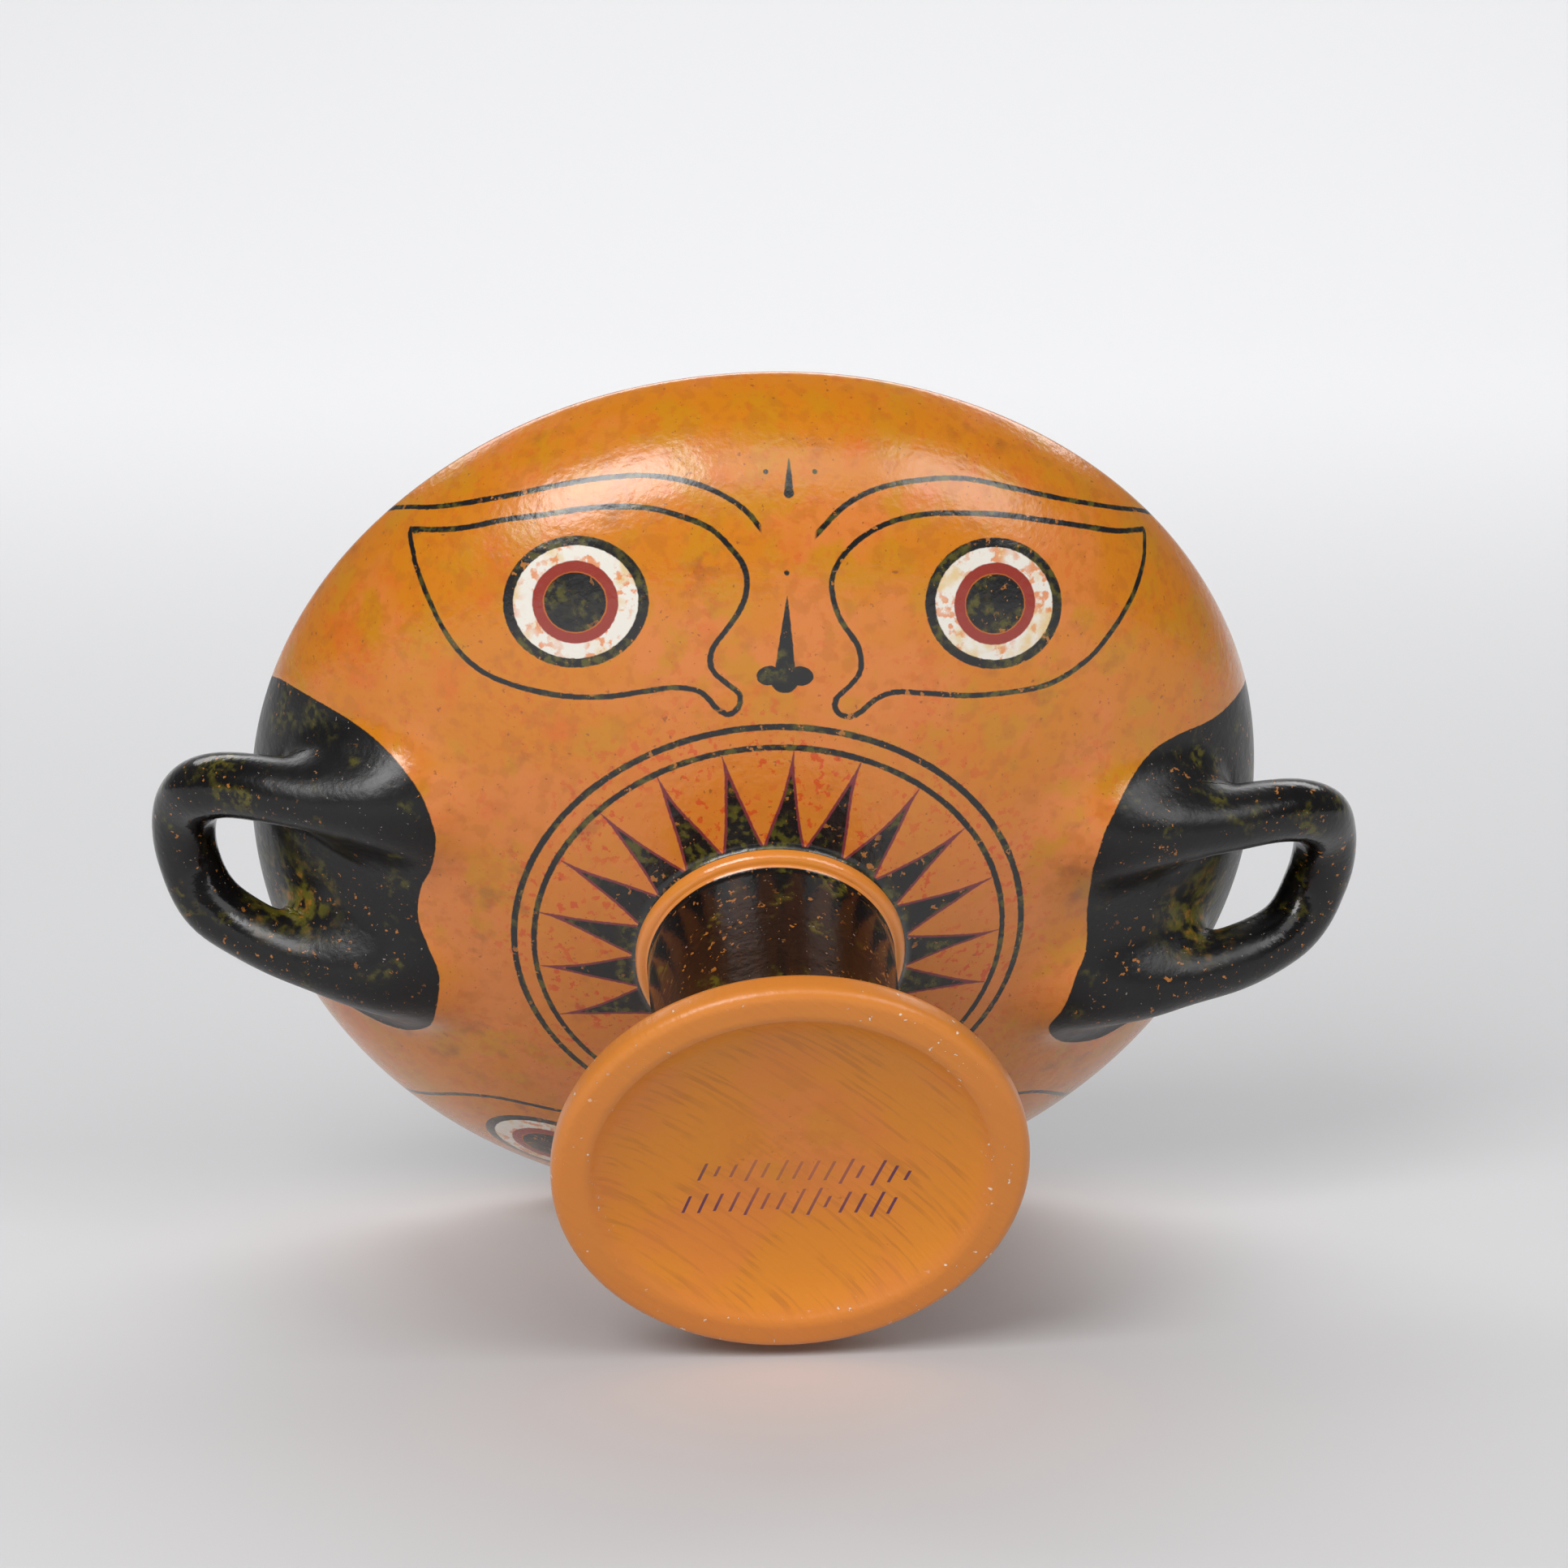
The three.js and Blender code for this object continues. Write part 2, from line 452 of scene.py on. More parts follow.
def neighbour_mean(place, edges):
    total = np.zeros_like(place)
    count = np.zeros(len(place))
    for a, b in (edges, edges[::-1]):
        np.add.at(total, a, place[b])
        np.add.at(count, a, 1)
    return total / np.maximum(count, 1)[:, None]


# The joints leave slivers, which are merged away. A sliver can fold into two faces back to back,
# and those come off.
sliver = 2e-5
mesh = body.data
shape = bmesh.new()
shape.from_mesh(mesh)
bmesh.ops.remove_doubles(shape, verts=shape.verts[:], dist=sliver)
bmesh.ops.dissolve_degenerate(shape, edges=shape.edges[:], dist=sliver)
bmesh.ops.triangulate(shape, faces=[face for face in shape.faces if len(face.verts) > 4])
by_corners = {}
for face in shape.faces:
    by_corners.setdefault(frozenset(face.verts), []).append(face)
folds = [face for twins in by_corners.values() if len(twins) > 1 for face in twins]
bmesh.ops.delete(shape, geom=folds, context="FACES")
shape.to_mesh(mesh)
shape.free()

# Each round evens out the points along the seam and lays them back on the melted surface
settling_rounds = 9
smoothing_rounds = 7
smoothing_share = 0.6
seam_strength = 1.3
seam_reach = 7
least_steep = 0.15
edges = np.empty(len(mesh.edges) * 2, int)
mesh.edges.foreach_get("vertices", edges)
edges = edges.reshape(-1, 2).T
place = positions(mesh)
start_height, _ = off_wall(place)
for name in loops:
    side = 1 if name == "right" else -1
    beside_roots = (place[:, 0] * side > roots_beyond) & (place[:, 2] > roots_above)
    near = np.flatnonzero(beside_roots & (start_height > -wall_skin))
    _, _, above_roll = off_handle_and_wall(place[near], name)
    near = near[above_roll < roots_reach]
    for turn in range(settling_rounds):
        if turn < smoothing_rounds:
            _, above_wall, above_roll = off_handle_and_wall(place[near], name)
            off_seam = np.maximum(np.abs(above_wall), np.abs(above_roll)) / seam_reach
            seam = np.clip(seam_strength - off_seam, 0, 1)
            middle = neighbour_mean(place, edges)[near]
            place[near] += smoothing_share * seam[:, None] * (middle - place[near])
        (height, way), _, _ = off_handle_and_wall(place[near], name)
        steep = np.maximum((way ** 2).sum(axis=1), least_steep)
        place[near] -= (height / steep)[:, None] * way

# Marks of the hand
# The wall is a little uneven, the handles are lumpy, and a knife left creases where roll and wall
# meet. Each crease is a line of points on the bowl, with its depth.
creases = [
    ([(-88, 81), (-86.3, 68), (-87.3, 57)], 0.7),
    ([(88.7, 75), (86.9, 64.7), (86.7, 55.6)], 0.6),
]
crease_width = 1.1
crease_steps = 20
lump_size = 15
lump_height = 0.45
lump_seed = 8.1
lumps_full_at = 3
wall_wave = 45
wall_wave_height = 0.22
wall_wave_seed = 3.7
foot_calm = 12
beyond_stem = 60


def unevenness(points, size, seed):
    return np.array([noise.noise(Vector(point) / size + Vector((seed, seed, seed))) for point in points])


set_positions(mesh, place)
normals = np.empty(len(mesh.vertices) * 3)
mesh.vertex_normals.foreach_get("vector", normals)
normals = normals.reshape(-1, 3)
height_off_wall, _ = off_wall(place)
on_handle = np.clip(height_off_wall / lumps_full_at, 0, 1) * (place[:, 2] > bowl_base)
on_handle *= np.linalg.norm(place[:, :2], axis=1) > beyond_stem
above_foot = np.clip(place[:, 2] / foot_calm, 0, 1)
push = wall_wave_height * unevenness(place, wall_wave, wall_wave_seed) * above_foot
push += lump_height * unevenness(place, lump_size, lump_seed) * on_handle
for line, depth in creases:
    groove = even(smooth_line(np.array([on_bowl(*spot) for spot in line])), crease_steps)
    away, share, _ = nearest(place, groove)
    fading = np.sin(np.pi * np.clip(share, 0.02, 0.98)) ** 0.5
    push -= depth * np.exp(-(away / crease_width) ** 2) * fading
place += push[:, None] * normals
set_positions(mesh, place)
for face in mesh.polygons:
    face.use_smooth = True

# The painted outlines
# Brush outlines laid on the bowl, each point by its angle round from the middle of the face and its
# run up the wall. The second face is the same, half a turn round. Every corner of the mesh keeps its
# distance from each outline, and the paint is drawn from these distances.
eye_outlines = {
    -1: [(-45.2, 88.5), (-42, 84.2), (-38.5, 80.9), (-33.7, 78.2), (-29.2, 75.7), (-23.1, 73.4),
         (-17, 70.5), (-13.3, 67.7), (-10, 64.6), (-7.6, 60.4), (-6, 56.4), (-5.9, 52.3), (-7.1, 48.5),
         (-9.7, 44.7), (-12.5, 41.2), (-13, 37.6), (-11, 34.6), (-8.6, 31.7), (-9.2, 29.3),
         (-11.3, 28.2), (-13.3, 29.5), (-15.9, 33.6), (-20.3, 35.7), (-25, 36.7), (-31.8, 38.6),
         (-37.8, 42.2), (-42.6, 47.4), (-46.2, 53.8), (-47.6, 59.5), (-47.7, 65.8), (-47, 73.1),
         (-46.2, 80.8)],
    1: [(45.2, 91), (42, 86), (39, 83), (32.2, 78.1), (27.2, 75.4), (20.8, 72), (16.8, 69.9),
        (12.5, 66.6), (9.2, 62.6), (7.2, 58.6), (6.3, 54.6), (6.9, 50.6), (8.5, 46.8), (12.3, 41.9),
        (13.5, 37.5), (12, 34), (10.1, 31.1), (10.9, 29), (13.5, 28.3), (15.4, 29.4), (17.6, 32.7),
        (20.4, 35.2), (26, 37.2), (33.9, 40.8), (41.2, 47.2), (44.6, 52.3), (46.7, 60.1), (47.1, 67.8),
        (46.9, 76.6), (46.2, 84.5)],
}
brow_lines = {
    -1: [(-60, 112), (-48, 98.6), (-40.5, 88.2), (-32.8, 82.6), (-26.7, 80.2), (-20.7, 78.3),
         (-16.3, 76.7), (-11.9, 74.1), (-8.2, 70.9), (-5.2, 67.1), (-3.5, 63.6), (0, 57)],
    1: [(0, 57), (3.9, 63.3), (7, 68.9), (10.8, 73), (16, 76.5), (20.8, 79.1), (26.3, 80.8),
        (33, 83.9), (40, 89.6), (46.5, 97.8), (60, 112)],
}
eye_middles = {-1: (-30.0, 80.3, 86.4, -14), 1: (30.1, 80.9, 86.8, 12)}
handle_patches = {
    -1: [(-76.5, 104), (-71.4, 91.4), (-67.2, 73.8), (-65.8, 63.2), (-65.9, 55.1), (-67.5, 49.4),
         (-70.8, 45.1), (-74.5, 43), (-80.8, 42.9), (-86.8, 44.8), (-93.3, 45.2), (-98.7, 43),
         (-103.3, 41.7), (-109.7, 43.8), (-115.5, 49), (-117.9, 56.1), (-117.4, 62.3), (-115.6, 68.1),
         (-113, 76), (-109, 91), (-104, 104)],
    1: [(74, 104), (70.5, 88), (68.6, 76.3), (66.5, 68), (65.4, 61.6), (65.8, 54.9), (67.5, 47.8),
        (70.4, 42.6), (76.2, 39.2), (82, 39.1), (89.2, 39.8), (96.7, 40.5), (102.4, 38.6),
        (109.9, 38.7), (115, 39.7), (118.6, 44.6), (120.3, 49.9), (120.4, 55.4), (119.6, 60.8),
        (116.9, 66.6), (114, 76), (109, 90), (106, 104)],
}
rim_oval = 0.885
iris_oval = 0.945
below_bowl = 2
over_lip = 6
face_half = 62
patch_from = 55
patch_to = 132
roll_stands_off = 6
on_roll_edge = -4
brush_steps = 8
far_away = 99.0

place = positions(mesh)
azimuth = np.degrees(np.arctan2(place[:, 0], -place[:, 1]))
far_face = np.abs(azimuth) > 90
folded = np.where(far_face, azimuth - 180 * np.sign(azimuth), azimuth)
folded_place = place * np.where(far_face, -1, 1)[:, None]
folded_place[:, 2] = place[:, 2]
radius = np.linalg.norm(place[:, :2], axis=1)
whole_line = joined(outside, inside[::-1])
whole_run = np.r_[0, np.cumsum(np.linalg.norm(np.diff(whole_line, axis=0), axis=1))]
_, share, _ = nearest(np.c_[radius, place[:, 2]], whole_line)
run = np.interp(share * (len(whole_line) - 1), np.arange(len(whole_line)), whole_run)
bowl_run = whole_run[len(outside) - len(outer_line)]
up_wall = run - bowl_run
on_outside = (up_wall > -below_bowl) & (up_wall < outer_run[-1] + over_lip)


def within(points, outline):
    """Whether each point lies inside a closed outline."""
    found = np.zeros(len(points), bool)
    for a, b in zip(outline, np.roll(outline, -1, axis=0)):
        if a[1] == b[1]:
            continue
        crossing = (points[:, 1] > min(a[1], b[1])) & (points[:, 1] <= max(a[1], b[1]))
        at = a[0] + (points[:, 1] - a[1]) / (b[1] - a[1]) * (b[0] - a[0])
        found ^= crossing & (points[:, 0] < at)
    return found


def outline_distance(charted, outline):
    """Distance over the wall of each charted point from a closed outline, below nothing inside it."""
    chart = smooth_line(np.array(outline, float), brush_steps)
    chart = np.vstack([chart, chart[:1]])
    away, _, _ = nearest(on_bowl(*charted.T), on_bowl(*chart.T))
    return away * np.where(within(charted, chart[:-1]), -1, 1)


eye_edge, brow_edge, eye_ring, eye_iris, patch_edge = (np.full(len(place), far_away) for _ in range(5))
for side in (-1, 1):
    half = np.flatnonzero(on_outside & (folded * side >= 0) & (np.abs(folded) < face_half))
    charted = np.c_[folded[half], up_wall[half]]
    eye_edge[half] = outline_distance(charted, eye_outlines[side])

    chart = smooth_line(np.array(brow_lines[side], float), brush_steps)
    away, _, _ = nearest(on_bowl(*charted.T), on_bowl(*chart.T))
    brow_edge[half] = away * np.sign(charted[:, 1] - np.interp(charted[:, 0], chart[:, 0], chart[:, 1]))

    angle, eye_radius, eye_height, tilt = eye_middles[side]
    outward = np.array((math.sin(math.radians(angle)), -math.cos(math.radians(angle)), 0))
    middle = outward * eye_radius + (0, 0, eye_height)
    _, wall_way = off_wall(middle[None, :])
    level = np.cross((0, 0, 1), outward)
    up = np.cross(wall_way[0], level)
    lean = math.radians(tilt)
    offset = folded_place[half] - middle
    along_level, along_up = offset @ level, offset @ up
    eye_across = along_level * math.cos(lean) + along_up * math.sin(lean)
    eye_up = along_up * math.cos(lean) - along_level * math.sin(lean)
    eye_ring[half] = np.hypot(eye_across * rim_oval, eye_up)
    eye_iris[half] = np.hypot(eye_across * iris_oval, eye_up)

    beside = (azimuth * side > patch_from) & (azimuth * side < patch_to) & (up_wall > 0)
    by_handle = np.flatnonzero(beside & on_outside)
    charted = np.c_[azimuth[by_handle], up_wall[by_handle]]
    patch_edge[by_handle] = outline_distance(charted, handle_patches[side])

height_off_wall, _ = off_wall(place)
on_roll = (height_off_wall > roll_stands_off) & (radius > beyond_stem) & (place[:, 2] > bowl_base)
patch_edge[on_roll] = np.minimum(patch_edge[on_roll], on_roll_edge)
for name, values in (
    ("eye_edge", eye_edge),
    ("brow_edge", brow_edge),
    ("eye_ring", eye_ring),
    ("eye_iris", eye_iris),
    ("patch_edge", patch_edge),
    ("up_wall", up_wall),
):
    mesh.attributes.new(name, "FLOAT", "POINT").data.foreach_set("value", values.astype(np.float32))

# The paint
# Burnished orange clay with a thin clear polish, painted by brush in black slip that is worn to olive
# and orange in places, brick red, off-white and violet. The paint follows the kept distances.
clay_ochre = (0.61, 0.190, 0.002, 1)
clay_salmon = (0.66, 0.195, 0.030, 1)
clay_yellow = (0.56, 0.215, 0.001, 1)
clay_red = (0.66, 0.105, 0.012, 1)
fleck_red = (0.60, 0.075, 0.010, 1)
clay_dark = (0.20, 0.055, 0.012, 1)
clay_shade = (0.48, 0.135, 0.006, 1)
dish_ochre = (0.66, 0.225, 0.012, 1)
dish_brown = (0.42, 0.14, 0.012, 1)
ring_pale = (0.64, 0.210, 0.028, 1)
# Painted light: a paler clay colour for the collar, standing in for the strong light the collar catches
collar_painted_light = (0.80, 0.270, 0.045, 1)
chip_white = (0.85, 0.66, 0.50, 1)
slip_black = (0.0050, 0.0045, 0.0045, 1)
slip_olive = (0.12, 0.105, 0.009, 1)
slip_worn = (0.45, 0.16, 0.025, 1)
slip_dust = (0.34, 0.28, 0.24, 1)
slip_brown = (0.026, 0.007, 0.004, 1)
ink_violet = (0.055, 0.010, 0.075, 1)
ray_violet = (0.17, 0.020, 0.035, 1)
iris_red = (0.29, 0.030, 0.017, 1)
eye_white = (0.78, 0.74, 0.66, 1)
eye_stain = (0.72, 0.22, 0.05, 1)
eye_yellowed = (0.72, 0.50, 0.20, 1)

paint = bpy.data.materials.new("painted_terracotta")
paint.use_nodes = True
nodes = paint.node_tree.nodes
link = paint.node_tree.links.new
shader = nodes["Principled BSDF"]


def feed(socket, value):
    if isinstance(value, bpy.types.NodeSocket):
        link(value, socket)
    else:
        socket.default_value = value


def worked(operation, *values):
    """One sum or comparison of the paint's numbers."""
    node = nodes.new("ShaderNodeMath")
    node.operation = operation
    for socket, value in zip(node.inputs, values):
        feed(socket, value)
    return node.outputs[0]


def plus(first, second):
    return worked("ADD", first, second)


def minus(first, second):
    return worked("SUBTRACT", first, second)


def times(first, second):
    return worked("MULTIPLY", first, second)


def over(first, second):
    return worked("DIVIDE", first, second)


def size_of(value):
    return worked("ABSOLUTE", value)


def rising(value, low, high):
    """0 up to the low value, 1 from the high one, with a soft step between."""
    node = nodes.new("ShaderNodeMapRange")
    node.interpolation_type = "SMOOTHSTEP"
    for name, number in (("Value", value), ("From Min", low), ("From Max", high)):
        feed(node.inputs[name], number)
    return node.outputs[0]


def falling(value, low, high):
    return minus(1.0, rising(value, low, high))


def both(*amounts):
    total = amounts[0]
    for amount in amounts[1:]:
        total = times(total, amount)
    return total


def either(*amounts):
    total = amounts[0]
    for amount in amounts[1:]:
        total = worked("MAXIMUM", total, amount)
    return total


def point_at(x, y, z):
    node = nodes.new("ShaderNodeCombineXYZ")
    for socket, value in zip(node.inputs, (x, y, z)):
        feed(socket, value)
    return node.outputs[0]


def grain(size, seed, detail=2.0, at=None):
    """Cloudy marks of about the size in millimetres, between 0 and 1."""
    node = nodes.new("ShaderNodeTexNoise")
    node.noise_dimensions = "4D"
    link(at or place_mm, node.inputs["Vector"])
    node.inputs["W"].default_value = seed
    node.inputs["Scale"].default_value = 1 / size
    node.inputs["Detail"].default_value = detail
    return node.outputs["Fac"]


def clouded(size, seed, low, high, detail=2.0):
    """Cloudy marks that are bare below the low value and full above the high one."""
    return rising(grain(size, seed, detail), low, high)


def layered(colour, *coats):
    """A colour with others laid over it in turn, each by an amount from 0 to 1."""
    for coat, amount in coats:
        node = nodes.new("ShaderNodeMix")
        node.data_type = "RGBA"
        for socket, value in ((node.inputs[0], amount), (node.inputs[6], colour), (node.inputs[7], coat)):
            feed(socket, value)
        colour = node.outputs[2]
    return colour


def kept(name):
    node = nodes.new("ShaderNodeAttribute")
    node.attribute_name = name
    return node.outputs["Fac"]


# Where a point of the surface is: in millimetres, round the cup, and from the middle of its face
object_place = nodes.new("ShaderNodeTexCoord").outputs["Object"]
scaled = nodes.new("ShaderNodeVectorMath")
scaled.operation = "SCALE"
link(object_place, scaled.inputs[0])
scaled.inputs["Scale"].default_value = 1 / mm
place_mm = scaled.outputs[0]
parts = nodes.new("ShaderNodeSeparateXYZ")
link(place_mm, parts.inputs[0])
along_x, along_y, height = parts.outputs
from_axis = worked("SQRT", plus(both(along_x, along_x), both(along_y, along_y)))
round_cup = worked("ARCTAN2", along_x, times(along_y, -1.0))
facing = minus(1.0, times(2.0, worked("GREATER_THAN", along_y, 0.0)))
face_angle = worked("ARCTAN2", both(along_x, facing), both(times(along_y, -1.0), facing))
across_face = both(face_angle, from_axis)
climb = kept("up_wall")
lip_run = outer_run[-1]
outer_bowl = both(rising(climb, -0.5, 0.5), falling(climb, lip_run + 2, lip_run + 5))

# The brush's own unevenness: it widens, thins and frays every painted edge
fray_width = 0.34
sway_width = 0.2
fray = times(minus(grain(0.9, 2.0, detail=3.0), 0.5), fray_width)
sway = times(minus(grain(7.0, 5.0, detail=1.0), 0.5), sway_width)


def stroke(distance, half_width, soft=0.13):
    """A brush line: 1 within the half width of where the distance is nothing."""
    away = plus(size_of(distance), fray)
    return falling(minus(away, plus(half_width, sway)), -soft, soft)


def filled(distance, edge, soft=0.13):
    """A painted area: 1 where the distance is below the edge."""
    return falling(minus(plus(distance, fray), edge), -soft, soft)


# The bare clay: broad clouds of ochre, salmon and yellow, red blushes, brushed mottling, specks
near_rays = both(falling(from_axis, 44.0, 60.0), outer_bowl)
towards_rim = rising(from_axis, 62.0, 98.0)
clouds = grain(24.0, 1.0, detail=4.0)
flecks = grain(0.9, 6.0)
salmon_clouds = rising(minus(clouds, times(towards_rim, 0.10)), 0.42, 0.56)
yellow_patches = clouded(9.0, 4.0, 0.50, 0.62, detail=5.0)
red_blushes = clouded(13.0, 9.0, 0.55, 0.72, detail=5.0)
mottling = clouded(3.2, 7.0, 0.50, 0.62, detail=5.0)
red_flecks = both(clouded(1.7, 12.0, 0.555, 0.60, detail=5.0), clouded(14.0, 13.0, 0.38, 0.54))
red_amount = plus(0.22, times(near_rays, 0.65))
smudges = both(clouded(6.0, 15.0, 0.56, 0.72, detail=6.0), clouded(30.0, 16.0, 0.44, 0.58))
clay = layered(
    clay_ochre,
    (clay_salmon, salmon_clouds),
    (clay_yellow, times(yellow_patches, 0.9)),
    (clay_red, times(red_blushes, 0.5)),
    (clay_shade, times(mottling, 0.42)),
    (clay_salmon, times(near_rays, 0.6)),
    (fleck_red, both(red_flecks, red_amount, outer_bowl)),
    (clay_dark, times(rising(flecks, 0.67, 0.72), 0.6)),
    (clay_dark, times(smudges, 0.40)),
)

# Under the foot: ochre wash with slanting brush marks, a paler resting ring with white chips
slant = math.radians(40)
mark_length = 14
mark_width = 1.1
under_foot = falling(height, foot_edge + 0.5, foot_edge + 2.5)
mark_run = plus(
    times(along_x, math.cos(slant) / mark_length),
    times(along_y, math.sin(slant) / mark_length),
)
mark_side = minus(
    times(along_y, math.cos(slant) / mark_width),
    times(along_x, math.sin(slant) / mark_width),
)
brush_marks = grain(1.0, 20.0, detail=3.0, at=point_at(mark_run, mark_side, times(height, 0.05)))
on_ring = both(rising(from_axis, resting_inner - 3.0, resting_inner - 0.5), under_foot)
chips = both(clouded(1.3, 23.0, 0.675, 0.695), clouded(9.0, 24.0, 0.44, 0.54), on_ring)
dish_clay = layered(
    dish_ochre,
    (dish_brown, both(rising(brush_marks, 0.50, 0.62), rising(clouds, 0.36, 0.50), 0.55)),
    (clay_salmon, times(rising(clouds, 0.45, 0.62), 0.6)),
    (ring_pale, times(on_ring, 0.85)),
    (clay_dark, times(rising(flecks, 0.735, 0.80), 0.4)),
    (chip_white, chips),
)
# The collar is painted paler all round: painted light for the strong light it catches, laid over the bare
# clay
on_collar = both(rising(height, 50.0, 52.0), falling(climb, -0.6, -0.2))
clay = layered(clay, (dish_clay, under_foot), (collar_painted_light, times(on_collar, 0.7)))

# Two rows of short slanting pen strokes in the dish
stroke_pitch = 3.0
row_pitch = 7.6
pen_width = 0.30
pen_edge = 0.06
pen_slant = 0.35
rows_middle = (5.5, 9.4)
rows_half_length = 20.5
shortest_stroke = 1.2
stroke_growth = 2.2
pen_x = minus(plus(along_x, times(along_y, pen_slant)), rows_middle[0])
pen_y = minus(along_y, rows_middle[1])
cell = over(pen_x, stroke_pitch)
row = over(pen_y, row_pitch)
cell_noise = nodes.new("ShaderNodeTexWhiteNoise")
cell_noise.noise_dimensions = "2D"
link(point_at(worked("FLOOR", cell), worked("FLOOR", row), 0.0), cell_noise.inputs["Vector"])
chance = cell_noise.outputs["Value"]
stroke_place = plus(0.4, times(chance, 0.2))
to_stroke = times(minus(worked("FRACT", cell), stroke_place), stroke_pitch)
in_row = times(minus(worked("FRACT", row), 0.5), row_pitch)
reach_up = plus(shortest_stroke, times(chance, stroke_growth))
pen = both(
    falling(size_of(to_stroke), pen_width - pen_edge, pen_width + pen_edge),
    falling(size_of(in_row), minus(reach_up, 0.15), reach_up),
    falling(size_of(pen_x), rows_half_length - 0.1, rows_half_length),
    falling(size_of(pen_y), row_pitch - 0.1, row_pitch),
    under_foot,
)
clay = layered(clay, (ink_violet, times(pen, 0.92)))

# The eyes: white ring, red iris, black pupil and black rim
rim_outer = 12.7
rim_inner = 10.9
white_outer = 11.0
iris_outer = 8.0
iris_line = 5.85
pupil_outer = 5.75
ring_away = kept("eye_ring")
iris_away = kept("eye_iris")
stains = both(clouded(1.6, 30.0, 0.50, 0.60, detail=6.0), clouded(6.0, 31.0, 0.38, 0.58))
white = layered(
    eye_white,
    (eye_yellowed, times(clouded(5.0, 32.0, 0.50, 0.66, detail=3.0), 0.8)),
    (eye_stain, times(stains, 0.85)),
)
paint_colour = layered(
    clay,
    (white, both(filled(ring_away, white_outer), outer_bowl)),
    (iris_red, both(filled(iris_away, iris_outer), outer_bowl)),
    (clay_ochre, times(stroke(minus(iris_away, iris_line), 0.12), 0.6)),
)
eye_rim = both(filled(ring_away, rim_outer), minus(1.0, filled(ring_away, rim_inner)))
pupil = filled(iris_away, pupil_outer)

# The rays round the collar: a black core in a violet outline, each ending in a violet tip
ray_count = 21
ray_turn = 2 * math.pi / ray_count
ray_start = math.radians(2.6)
rays_from = 26.0
rays_to = 45.7
ray_half_width = 4.3
ray_taper = 1.35
turns = over(minus(round_cup, ray_start), ray_turn)
ray_wobble = times(minus(grain(13.0, 40.0, detail=0.0), 0.5), 0.12)
in_ray = minus(worked("FRACT", plus(plus(turns, ray_wobble), 0.5)), 0.5)
up_ray = over(minus(from_axis, rays_from), rays_to - rays_from)
to_tip = worked("MAXIMUM", minus(1.0, up_ray), 0.0)
ray_half = times(worked("POWER", to_tip, ray_taper), ray_half_width)
ray_off = minus(times(both(size_of(in_ray), from_axis), ray_turn), ray_half)
ray_zone = both(rising(climb, 0.1, 0.4), falling(from_axis, rays_to, rays_to + 0.3), outer_bowl)
ray_body = both(filled(ray_off, 0.12), ray_zone)
ray_core = both(filled(ray_off, -0.45), ray_zone, falling(up_ray, 0.74, 0.80))

# The outlines: two rings, eyes, brows, nose, forehead drop, dots, and the line round the collar
outer_ring = stroke(minus(from_axis, 50.4), 0.62)
inner_ring = stroke(minus(from_axis, 46.5), 0.58)
rings = both(either(outer_ring, inner_ring), rising(climb, 10.0, 12.0), outer_bowl)
eye_line = stroke(kept("eye_edge"), 0.55)
off_middle = size_of(face_angle)
brow_reach = both(
    rising(off_middle, math.radians(3.3), math.radians(3.8)),
    falling(off_middle, math.radians(47.6), math.radians(48.4)),
)
brow_line = both(stroke(kept("brow_edge"), 0.54), brow_reach)


def dab(middle_x, middle_run, size, squash=1.0):
    """A round dab, or a flattened one, on the middle of the face."""
    x = minus(across_face, middle_x)
    y = times(minus(climb, middle_run), squash)
    return filled(worked("SQRT", plus(both(x, x), both(y, y))), size)


def blade(tip_run, base_run, base_half, fullness):
    """A narrow wedge of paint up the middle of the face, pointed towards the rim."""
    share = over(minus(tip_run, climb), tip_run - base_run)
    half = times(worked("POWER", worked("MAXIMUM", share, 0.0), fullness), base_half)
    side_edge = filled(minus(size_of(across_face), half), 0.0)
    return both(side_edge, rising(climb, base_run - 0.3, base_run), falling(climb, tip_run - 0.3, tip_run))


nose = either(
    blade(50.9, 34.5, 2.2, 0.9),
    dab(-3.0, 35.2, 2.5, squash=1.3),
    dab(3.0, 35.2, 2.5, squash=1.3),
    dab(0.0, 34.4, 2.7),
)
drop = either(blade(77.4, 70.4, 0.95, 0.8), dab(0.0, 70.4, 0.95))
dots = either(dab(-0.2, 55.2, 0.5), dab(-4.4, 74.6, 0.5), dab(5.0, 74.8, 0.5))
collar_line = both(rising(climb, -0.5, -0.2), falling(climb, 0.55, 0.8))
outlines = both(either(eye_line, brow_line, eye_rim, pupil, nose, drop), outer_bowl)

# Black areas: round the handles, down the stem and inside the bowl round a bare disc
disc_radius = 27.6
disc_circles = (24.4, 3.2)
circle_half = 0.5
stem_top = -(collar_radius - stem_radius) * 2.0
on_stem = both(falling(climb, stem_top - 0.25, stem_top + 0.1), rising(height, 11.5, 12.0))
off_disc = either(
    rising(from_axis, disc_radius, disc_radius + 0.4),
    *[stroke(minus(from_axis, circle), circle_half) for circle in disc_circles],
)
in_bowl = both(rising(climb, lip_run + 2.6, lip_run + 3.0), off_disc)
patch = both(filled(kept("patch_edge"), 0.0), rising(climb, 5.0, 6.0))
broad_black = either(patch, on_stem, in_bowl)
black = either(outlines, rings, ray_core, collar_line, dots, broad_black)

